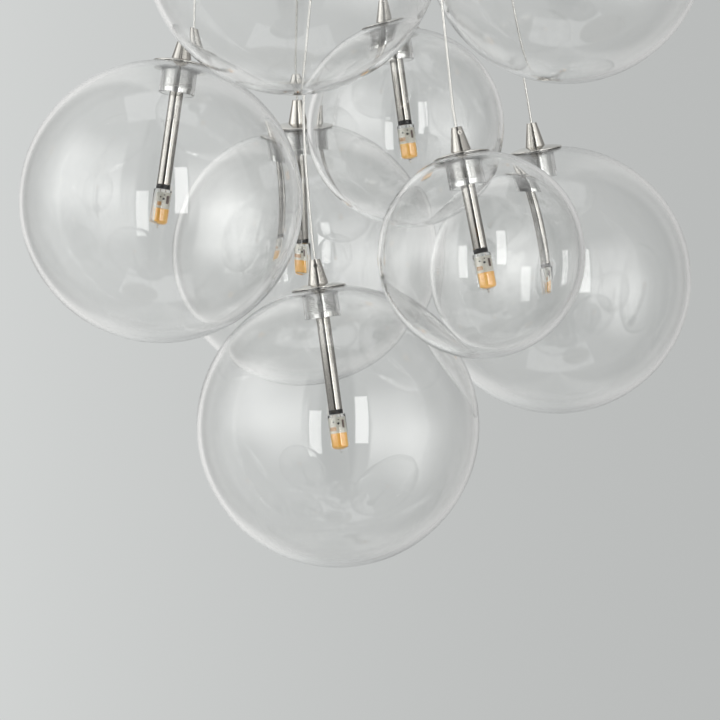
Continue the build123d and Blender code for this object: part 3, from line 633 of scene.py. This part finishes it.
black_plastic = moulded("black_plastic", colour(30, 29, 30)[:3], 0.42)
white_plastic = moulded("white_plastic", colour(226, 226, 222)[:3], 0.45)
black_rubber = moulded("black_rubber", colour(34, 34, 34)[:3], 0.7)
red_wire = moulded("red_wire", colour(178, 48, 40)[:3], 0.35, coat=0.3)
board_white = moulded("board_white", colour(226, 224, 214)[:3], 0.5, coat=0.2)
chip_black = moulded("chip_black", colour(38, 38, 42)[:3], 0.4)
capacitor_tan = moulded("capacitor_tan", colour(205, 158, 104)[:3], 0.4)
rectifier_brown = moulded("rectifier_brown", colour(88, 62, 54)[:3], 0.4)
amber_phosphor = phosphor_finish()
print("plastics 8, phosphor 1")


# %% [markdown]
# The cable is a tinned copper braid under a clear jacket. The strands cross in two families of
# helices, so the pattern is made from both UV directions: round the cable and along it. The clear
# jacket is the shader's coat.


# %% Braided cable finish
def braid_finish():
    material, graph = material_graph("braided_cable")
    uv = graph.add("ShaderNodeTexCoord", out=2)
    around = graph.add("ShaderNodeSeparateXYZ", feeds={0: uv}, out=0)
    along = graph.add("ShaderNodeSeparateXYZ", feeds={0: uv}, out=1)
    strands, lay = 6 * 2 * np.pi, 2 * np.pi / 1.9
    rising = (around * strands + along * lay).math("SINE", around * strands + along * lay)
    falling = (around * strands - along * lay).math("SINE", around * strands - along * lay)
    weave = rising.math("MAXIMUM", rising, falling) * 0.5 + 0.5
    tone = graph.mix(weave, (0.20, 0.197, 0.187, 1), (0.82, 0.81, 0.78, 1))
    surface = surface_of(
        graph,
        base_color=tone,
        metallic=1.0,
        roughness=0.30 - weave * 0.08,
        coat_weight=0.5,
        coat_roughness=0.05,
        normal=bump(graph, weave, 0.00005),
    )
    shown_by(graph, surface)
    return material


braided_cable = braid_finish()
print("cable finish", braided_cable.name)

# %% [markdown]
# The globes. Each is one closed surface: up the outside of the ball, over the lip, down the
# threaded neck, round its foot and back down the inside. The wall of a blown ball is never quite
# even, so slow waves of a few hundredths of a millimetre are added to the inner side. The thread is
# a true helix: its ridge height depends on the height above a line that climbs with the angle.

# %% Sizes shared by the turned pieces, in millimetres
GLASS_WALL = 3.2
NECK_WALL = 1.3
THREAD_ROOT = 10.8
THREAD_DEPTH = 0.55
THREAD_PITCH = 1.35
THREAD_TOP = 3.0
THREAD_LENGTH = 15.0
THREAD_CLEARANCE = 0.2
CAP_RADIUS = 19.85
CAP_RIM = 0.8
CAP_DOME = 3.0
PLUG_LENGTH = 21.0
SEAT_GAP = 0.3
STEM_RADIUS = 5.0
STEM_WALL = 0.7
STEM_SOCKET = 6.0
LARGE_STEM = 89.5
SMALL_STEM = 67.5
LIP_ROUND = 0.9
NECK_FILLET = 2.5
FOOT_ROUND = 0.3
BLOWN_WAVE = 0.05
BORE_RIDGE = 0.2  # share of the thread depth that shows on the glass
CAP_FLAT = 8.0
CAP_EDGE = 0.4
CAP_HOLLOW = 1.9
TUBE_PLAY = 0.05


def sizes(pendant):
    """Ball radius, height of the cap's rim and height of the stem's end above the ball's middle."""
    radius, stem = (LARGE_RADIUS, LARGE_STEM) if is_large(pendant) else (SMALL_RADIUS, SMALL_STEM)
    rim_height = np.sqrt(radius**2 - CAP_RADIUS**2) + SEAT_GAP
    return radius, rim_height, rim_height + CAP_DOME - stem


def thread_ridge(turn, height, top):
    """0 in a groove, 1 on a ridge: |cos(pi * phase)|^0.8, by height above a climbing line."""
    phase = (height - THREAD_PITCH * turn / (2 * np.pi)) / THREAD_PITCH
    wave = np.abs(np.cos(np.pi * phase)) ** 0.8
    fade = np.clip((top - height) / 1.2, 0, 1) * np.clip((height - top + THREAD_LENGTH) / 1.2, 0, 1)
    return wave * fade * fade


def globe_shape(radius, rim_height, seed):
    inside = radius - GLASS_WALL
    bore = THREAD_ROOT + THREAD_CLEARANCE
    neck = bore + THREAD_DEPTH + NECK_WALL
    foot = rim_height - PLUG_LENGTH
    thread_top = rim_height - THREAD_TOP
    lip_angle = np.degrees(np.arccos((bore + LIP_ROUND) / radius))
    lip = np.array([bore + LIP_ROUND, radius * np.sin(np.radians(lip_angle))])
    root = np.sqrt(inside**2 - (neck + NECK_FILLET) ** 2)
    root_angle = np.degrees(np.arccos((neck + NECK_FILLET) / inside))
    wall = np.stack([np.full(120, bore), np.linspace(lip[1] - 1.0, foot + 1.0, 120)], 1)
    neck_side = np.stack([np.full(10, neck), np.linspace(foot + 1.0, root - 2.6, 10)], 1)
    profile = joined(
        [(0.0, -radius)],
        arc((0, 0), radius, -89, lip_angle, 112),
        arc(lip + [0, -LIP_ROUND], LIP_ROUND, 90, 180, 6),
        wall,
        arc((bore + FOOT_ROUND, foot + FOOT_ROUND), FOOT_ROUND, 180, 270, 4),
        arc((neck - FOOT_ROUND, foot + FOOT_ROUND), FOOT_ROUND, 270, 360, 4),
        neck_side,
        arc((neck + NECK_FILLET, root - NECK_FILLET), NECK_FILLET, 180, 90, 8),
        arc((0, 0), inside, root_angle, -89, 104),
        [(0.0, -inside)],
    )
    waves = np.random.default_rng(seed).uniform(0, 2 * np.pi, 4)

    def uneven(turn, r, z):
        far = np.hypot(r, z)
        inner = (far < inside + 0.5) & (r > neck + 0.1)
        wave = np.sin(3 * turn + z / 31 + waves[0]) + np.sin(2 * turn - z / 23 + waves[1])
        wave = wave + np.sin(5 * turn + z / 17 + waves[2]) * 0.5
        ridge = thread_ridge(turn, z, thread_top) * (np.abs(r - bore) < 0.05)
        return r + inner * wave * BLOWN_WAVE * r / radius + ridge * THREAD_DEPTH * BORE_RIDGE

    return turned(profile, 160, swell=uneven)


# %% Make the globes
for number, pendant in enumerate(PENDANTS):
    radius, rim_height, _ = sizes(pendant)
    name = pendant + "_glass_ball"
    piece(
        name,
        globe_shape(radius, rim_height, number),
        stem_matrix(pendant),
        globe_glass,
        pendant + "_pendant",
        "clear_glass",
        [pendant + "_globe"],
        sharp=60,
    )
print("globes", len(PENDANTS))

# %% [markdown]
# The cap is a thin, shallow dome of sheet nickel with a threaded plug below. The stem tube comes
# through it and carries the black lampholder. They are turned about the same axis, with small
# rounds at their edges, because it is the edges that catch the light.


# %% Caps, stems and lampholders
def cap_shape(rim_height):
    top = rim_height + CAP_DOME
    dome_rise = CAP_DOME - CAP_RIM
    across = CAP_RADIUS - 0.25 - CAP_FLAT
    steps = np.linspace(0, 1, 16)
    dome = np.stack([CAP_FLAT + across * steps, top - dome_rise * steps**1.7], 1)
    under_radius = CAP_RADIUS - CAP_EDGE - (CAP_RADIUS - 11.4) * steps
    under = np.stack([under_radius, rim_height + CAP_HOLLOW * steps], 1)
    profile = joined(
        [(STEM_RADIUS + TUBE_PLAY, top)],
        dome,
        arc((CAP_RADIUS - CAP_EDGE, rim_height + CAP_EDGE), CAP_EDGE, 40, -90, 6),
        under,
        [(STEM_RADIUS + TUBE_PLAY, rim_height + CAP_HOLLOW)],
    )
    return turned(profile, 96, closed=True)


def plug_shape(rim_height):
    foot = rim_height - PLUG_LENGTH
    side = np.stack([np.full(170, THREAD_ROOT), np.linspace(rim_height + 1.85, foot + 0.6, 170)], 1)
    profile = joined(
        [(STEM_RADIUS + TUBE_PLAY, rim_height + 1.85)],
        side,
        [(THREAD_ROOT - 0.6, foot), (STEM_RADIUS + TUBE_PLAY, foot)],
    )

    def threaded(turn, r, z):
        on_plug = np.abs(r - THREAD_ROOT) < 0.05
        return r + on_plug * (thread_ridge(turn, z, rim_height - THREAD_TOP) - 1) * THREAD_DEPTH

    return turned(profile, 96, closed=True, swell=threaded)


def tube_shape(outside, inside, low, high, round_edge):
    profile = joined(
        arc((outside - round_edge, low + round_edge), round_edge, -90, 0, 5),
        arc((outside - round_edge, high - round_edge), round_edge, 0, 90, 5),
        [(inside, high), (inside, low)],
    )
    return turned(profile, 64, closed=True)


def solid_turned(outside, low, high, round_edge, sides=64):
    profile = joined(
        [(0.0, low)],
        arc((outside - round_edge, low + round_edge), round_edge, -90, 0, 5),
        arc((outside - round_edge, high - round_edge), round_edge, 0, 90, 5),
        [(0.0, high)],
    )
    return turned(profile, sides)


HOLDER_RING = 3.1
HOLDER_SPIGOT = 10.0
for pendant in PENDANTS:
    _, rim_height, stem_end = sizes(pendant)
    matrix, body = stem_matrix(pendant), pendant + "_pendant"
    node = [pendant + "_cap_and_stem"]
    piece(pendant + "_cap", cap_shape(rim_height), matrix, satin_nickel, body, "satin_nickel", node)
    piece(pendant + "_plug", plug_shape(rim_height), matrix, plug_metal, body, "satin_nickel", node)
    stem_top = rim_height + CAP_DOME + STEM_SOCKET - 0.1
    tube = tube_shape(STEM_RADIUS, STEM_RADIUS - STEM_WALL, stem_end, stem_top, 0.15)
    piece(pendant + "_stem", tube, matrix, stem_nickel, body, "satin_nickel", node)
    holder = solid_turned(STEM_RADIUS, stem_end - HOLDER_RING, stem_end - 0.02, 0.35)
    node = [pendant + "_lampholder"]
    piece(pendant + "_holder", holder, matrix, black_plastic, body, "black_plastic", node)
print("caps, plugs, stems and holders", 4 * len(PENDANTS))

# %% [markdown]
# The cable grip has one feature that a turned surface can't show: the hole in its side with the
# grub screw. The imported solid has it, so its mesh is copied, its loose triangles are joined and its
# edges get a narrow bevel. The other cut parts, up in the canopy, are dressed the same way.


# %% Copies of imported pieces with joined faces
def dressed_copy(name, node, material, bevel=0.00015, sharp=30):
    """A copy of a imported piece: merged, bevelled at its edges, with UVs that follow its height."""
    source = frame["nodes"][node]
    work = bmesh.new()
    work.from_mesh(source.data)
    bmesh.ops.remove_doubles(work, verts=work.verts, dist=1e-6)
    bmesh.ops.dissolve_limit(work, angle_limit=np.radians(0.5), verts=work.verts, edges=work.edges)
    layer = work.loops.layers.uv.new("UVMap")
    for face in work.faces:
        for loop in face.loops:
            loop[layer].uv = (loop.vert.co.x / MM, loop.vert.co.z / MM)
    mesh = bpy.data.meshes.new(name)
    work.to_mesh(mesh)
    work.free()
    mesh.shade_smooth()
    mesh.set_sharp_from_angle(angle=np.radians(sharp))
    made = put(name, mesh, material, source["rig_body"], [node])
    if bevel:
        edge = made.modifiers.new("edge", "BEVEL")
        edge.width = bevel
        edge.segments = 2
        edge.limit_method = "ANGLE"
        edge.angle_limit = np.radians(sharp)
        edge.harden_normals = True
    return made


for pendant in PENDANTS:
    node = pendant + "_cable_grip"
    dressed_copy(pendant + "_grip", node, polished_nickel)

CANOPY_LOOKS = {
    "canopy_cover": (canopy_nickel, "satin_nickel"),
    "ceiling_bracket": (zinc_plate, "zinc_steel"),
    "canopy_screws": (polished_nickel, "polished_nickel"),
    "cable_glands": (polished_nickel, "polished_nickel"),
    "gland_nuts": (zinc_plate, "zinc_steel"),
    "led_driver": (white_plastic, "white_plastic"),
    "driver_screws": (zinc_plate, "zinc_steel"),
    "output_terminal": (white_plastic, "white_plastic"),
    "mains_terminal": (white_plastic, "white_plastic"),
    "supply_grommet": (black_rubber, "black_rubber"),
    "driver_wires": (red_wire, "red_wire"),
    "cable_leads": (braided_cable, "braided_cable"),
}
for node, (material, slot) in CANOPY_LOOKS.items():
    dressed_copy(node + "_dressed", node, material)
print("dressed copies", len(PENDANTS) + len(CANOPY_LOOKS))

# %% [markdown]
# The lamps are small two-pin capsules: a clear body with a drawn-out tip, cast round a pale circuit
# board. The board has small parts above and a block of amber phosphor below on each side. The round
# body acts as a lens, so that the narrow board fills it from side to side.

# %% Lamps
LAMP_GAP = 0.3
LAMP_RADIUS = 6.5
LAMP_LENGTH = 24.7
LAMP_TIP = 2.8
LAMP_SHOULDER = 2.9
LAMP_BASE = 2.6
BOARD_WIDTH = 9.4
BOARD_THICKNESS = 1.0
BOARD_LENGTH = 20.0
PHOSPHOR_LENGTH = 9.2
PIN_SPACING = 4.0
PIN_RADIUS = 0.35
LAMP_TURNS = {
    "left": 52, "back": 128, "lowest": -4, "small_middle": 176,
    "small_right": 12, "right": 70, "top_left": 25, "top_right": -30,
}


def body_shape(top):
    """The clear body: a straight side, a rounded shoulder and a small drawn tip."""
    bottom = top - LAMP_LENGTH
    steps = np.linspace(0, np.pi / 2, 16)
    side = 1.1 + (LAMP_RADIUS - 1.1) * np.cos(steps) ** 0.7
    shoulder = np.stack([side, bottom + LAMP_SHOULDER * (1 - np.sin(steps))], 1)
    pull = np.linspace(0, 1, 8)
    tip = np.stack([1.1 * (1 - pull) ** 0.6, bottom - LAMP_TIP * pull**0.9], 1)
    rim = [(0.0, top), (LAMP_RADIUS - 0.3, top), (LAMP_RADIUS, top - 0.3)]
    return turned(joined(rim, shoulder, tip), 64)


def gel_strip(middle, width, length, thickness, face):
    """A block of phosphor gel: nearly flat, and rounded off at its sides and ends.

    Its height over the board is thickness * sqrt(1 - s^6) * sqrt(1 - t^16), with s and t from -1
    to 1 across it and along it.
    """
    s, t = np.meshgrid(np.linspace(-1, 1, 15), np.linspace(-1, 1, 31), indexing="ij")
    bulge = np.clip(1 - s**6, 0, 1) ** 0.5 * np.clip(1 - t**16, 0, 1) ** 0.5
    x = middle[0] + s * width / 2
    y = middle[1] + face * thickness * bulge
    z = middle[2] + t * length / 2
    top = np.stack([x, y, z], 2).reshape(-1, 3)
    base = np.stack([x, y * 0 + middle[1] - face * 0.02, z], 2).reshape(-1, 3)
    index = np.arange(15 * 31).reshape(15, 31)
    quads = np.stack([index[:-1, :-1], index[1:, :-1], index[1:, 1:], index[:-1, 1:]], 2)
    quads = quads.reshape(-1, 4)
    edge = np.concatenate([index[:, 0], index[-1, 1:], index[-2::-1, -1], index[0, -2:0:-1]])
    after = np.roll(edge, -1)
    count = 15 * 31
    walls = np.stack([edge, after, after + count, edge + count], 1)
    faces = np.concatenate([quads, quads[:, ::-1] + count, walls])
    return np.concatenate([top, base]), faces.tolist(), None


def merged_shapes(*shapes):
    points, faces, count = [], [], 0
    for shape in shapes:
        points.append(shape[0])
        faces += [[v + count for v in face] for face in shape[1]]
        count += len(shape[0])
    return np.concatenate(points), faces, None


for pendant in PENDANTS:
    _, _, stem_end = sizes(pendant)
    body, node = pendant + "_bulb", [pendant + "_lamp"]
    spin = Matrix.Rotation(np.radians(LAMP_TURNS[pendant]), 4, "Z")
    matrix = stem_matrix(pendant) @ spin
    top = stem_end - HOLDER_RING - LAMP_GAP
    piece(pendant + "_lamp_body", body_shape(top), matrix, lamp_glass, body, "lamp_glass", node, 50)
    board_top = top - LAMP_BASE - 0.05
    board_low = board_top - BOARD_LENGTH
    board_middle = (0, 0, board_top - BOARD_LENGTH / 2)
    board = blocks([(board_middle, (BOARD_WIDTH, BOARD_THICKNESS, BOARD_LENGTH))], 0.08)
    piece(pendant + "_lamp_board", board, matrix, board_white, body, "white_plastic", node)
    chips, capacitors, rectifiers = [], [], []
    for face in (-1, 1):
        y = face * (BOARD_THICKNESS / 2 + 0.35)
        chips.append(((-face * 0.6, y, board_top - 4.2), (1.1, 0.7, 1.3)))
        chips.append(((-face * 0.9, y, board_top - 1.6), (0.7, 0.5, 0.7)))
        chips.append(((face * 1.9, y, board_top - 3.0), (0.8, 0.6, 0.9)))
        capacitors.append(((face * 2.6, y, board_top - 7.6), (3.4, 0.7, 2.6)))
        rectifiers.append(((-face * 3.1, y, board_top - 4.6), (1.1, 0.7, 5.4)))
    for kind, boxes, finish in (
        ("chips", chips, chip_black),
        ("capacitors", capacitors, capacitor_tan),
        ("rectifiers", rectifiers, rectifier_brown),
    ):
        shape = blocks(boxes, 0.1)
        piece(pendant + "_lamp_" + kind, shape, matrix, finish, body, "black_plastic", node)
    strips = []
    middle = board_low + PHOSPHOR_LENGTH / 2 + 0.1
    for face in (-1, 1):
        start = (0.0, face * BOARD_THICKNESS / 2, middle)
        strips.append(gel_strip(start, BOARD_WIDTH - 0.1, PHOSPHOR_LENGTH, 0.9, face))
    gel = merged_shapes(*strips)
    piece(pendant + "_lamp_phosphor", gel, matrix, amber_phosphor, body, "lamp_glass", node)
    pins = []
    for side in (-1, 1):
        pin = solid_turned(PIN_RADIUS, top - LAMP_BASE, stem_end + 3.8, 0.12, 20)
        pins.append((pin[0] + [side * PIN_SPACING / 2, 0, 0], pin[1].tolist(), None))
    pins = [(p, [list(dict.fromkeys(f)) for f in faces], None) for p, faces, _ in pins]
    piece(pendant + "_lamp_pins", merged_shapes(*pins), matrix, pin_metal, body, "zinc_steel", node)
print("lamps", len(PENDANTS))

# %% [markdown]
# The cables hang taut from the crimped balls in the canopy's glands down to the grips. Each route
# is a short list of control points for a smooth curve: the ball, the points that the photograph
# shows where the cable isn't straight, the corner above the grip, and the end in the lampholder.
# Two more points, one at the grip's mouth and one above the corner, keep the bend where it is.

# %% Cable routes
CABLE_RADIUS = 0.9
CONE_HEIGHT = 17.5
CABLE_STRAIGHT = 12.0
CABLE_ENTRY = 3.0
BALL_RADIUS = 2.6
CABLE_END_INSET = 0.4
PASSED = {
    "lowest": [
        (-0.0222, -0.0320, -0.5696),
        (-0.0252, -0.0326, -0.5335),
        (-0.0262, -0.0332, -0.4982),
    ],
}


def cable_route(pendant):
    """Control points in metres from the ball down to the lampholder."""
    _, rim_height, stem_end = sizes(pendant)
    matrix = stem_matrix(pendant)
    grip_top = rim_height + CAP_DOME + CONE_HEIGHT
    start = matrix @ Vector((0, 0, stem_end + HOLDER_SPIGOT - CABLE_ENTRY + 0.05))
    mouth = matrix @ Vector((0, 0, grip_top))
    corner = matrix @ Vector((0, 0, grip_top + CABLE_STRAIGHT))
    pivot = Vector(joints[pendant + "_swing"]["pos_m"])
    passed = [Vector(point) for point in PASSED.get(pendant, [])]
    last = passed[-1] if passed else corner
    end = pivot + (pivot - last).normalized() * (BALL_RADIUS - CABLE_END_INSET) * MM
    if passed:
        above = passed[-1] + (end - passed[-1]).normalized() * 0.035
        return [start, mouth, corner, *passed, above, end][::-1]
    above = corner + (end - corner).normalized() * CABLE_STRAIGHT * MM
    return [start, mouth, corner, above, end][::-1]


def smooth_line(name, points):
    """Points read from a NURBS line of order 3 through the route, and the line's length."""
    curve = bpy.data.curves.new(name, "CURVE")
    curve.dimensions = "3D"
    curve.resolution_u = 24
    spline = curve.splines.new("NURBS")
    spline.points.add(len(points) - 1)
    spline.points.foreach_set("co", np.array([(*point, 1) for point in points], np.float32).ravel())
    spline.order_u = 3
    spline.use_endpoint_u = True
    holder = bpy.data.objects.new(name, curve)
    bpy.context.scene.collection.objects.link(holder)
    graph = bpy.context.evaluated_depsgraph_get()
    mesh = bpy.data.meshes.new_from_object(holder.evaluated_get(graph))
    line = np.array([vertex.co for vertex in mesh.vertices])
    bpy.data.objects.remove(holder)
    bpy.data.meshes.remove(mesh)
    bpy.data.curves.remove(curve)
    return line, float(np.linalg.norm(np.diff(line, axis=0), axis=1).sum())


def tube_along(line, radius, sides):
    """An open tube: rings of points square to the line, on axes that never twist."""
    ahead = np.gradient(line, axis=0)
    ahead /= np.linalg.norm(ahead, axis=1)[:, None]
    across = np.cross(ahead, [0.0, 1.0, 0.0])
    across /= np.linalg.norm(across, axis=1)[:, None]
    beside = np.cross(ahead, across)
    turn = np.arange(sides) * 2 * np.pi / sides
    rings = across[:, None] * np.cos(turn)[:, None] + beside[:, None] * np.sin(turn)[:, None]
    points = (line[:, None] + rings * radius).reshape(-1, 3)
    index = np.arange(len(line) * sides).reshape(-1, sides)
    after = np.roll(index, -1, axis=1)
    quads = np.stack([index[:-1], after[:-1], after[1:], index[1:]], 2).reshape(-1, 4)
    far = np.r_[0, np.cumsum(np.linalg.norm(np.diff(line, axis=0), axis=1))] / MM
    u = np.arange(sides + 1) / sides
    low, high = far[:-1, None] + 0 * u[None, :-1], far[1:, None] + 0 * u[None, :-1]
    us = np.broadcast_to(np.stack([u[:-1], u[1:], u[1:], u[:-1]], 1), (*low.shape, 4))
    uvs = np.stack([us, np.stack([low, low, high, high], 2)], 3).reshape(-1, 4, 2)
    return points, quads, uvs


# %% Make the cables and their balls
for pendant in PENDANTS:
    body = pendant + "_pendant"
    route = cable_route(pendant)
    line, length = smooth_line(pendant + "_route", route)
    node = [pendant + "_cable"]
    shape = tube_along(line, CABLE_RADIUS * MM, 16)
    tube = piece(pendant + "_flex", shape, Matrix(), braided_cable, body, "braided_cable", node)
    bore = CABLE_RADIUS + 0.05
    side = np.degrees(np.arcsin(bore / BALL_RADIUS))
    ball = turned(joined(arc((0, 0), BALL_RADIUS, side - 90, 90 - side, 24)), 32, closed=True)
    pivot = Vector(joints[pendant + "_swing"]["pos_m"])
    ahead = (route[0] - route[1]).normalized()
    matrix = Matrix.Translation(pivot) @ ahead.to_track_quat("Z", "Y").to_matrix().to_4x4()
    matrix = matrix @ Matrix.Scale(MM, 4)
    piece(pendant + "_ball", ball, matrix, polished_nickel, body, "braided_cable", node)
    print(pendant, "cable", round(length, 4), "m in", len(line), "rings")
